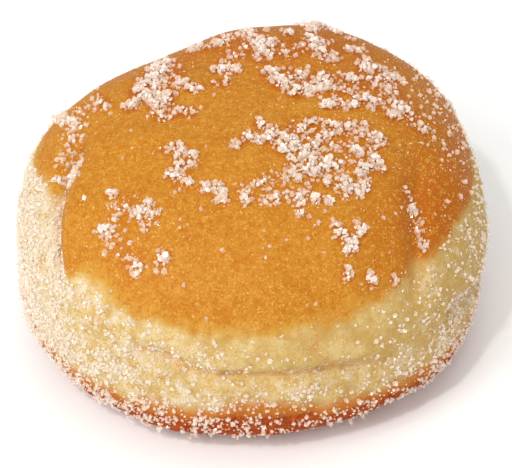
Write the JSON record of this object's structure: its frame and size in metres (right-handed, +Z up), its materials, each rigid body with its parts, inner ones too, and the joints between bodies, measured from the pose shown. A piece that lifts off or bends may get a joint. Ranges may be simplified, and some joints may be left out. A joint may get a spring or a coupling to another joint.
{
  "type": "jelly filled doughnut",
  "caption": "Sugared jelly filled doughnut: a round, uncut bun with a browned crown, a pale waist and a flat foot",
  "frame": {"origin": "the middle of the bun's footprint box, on the flat foot that it rests on", "axes": "+Z up through the crown, -Y the front as shown, +X to the right"},
  "size_m": [0.0874, 0.0846, 0.0475],
  "materials": {
    "crust": "fried dough crust: satin golden brown crown, matte pale cream waist, red brown rim at the foot",
    "sugar": "coarse sugar crystals: translucent, glossy faces, warm white"
  },
  "bodies": {
    "root": {"doughnut": "crust"}
  },
  "joints": []
}
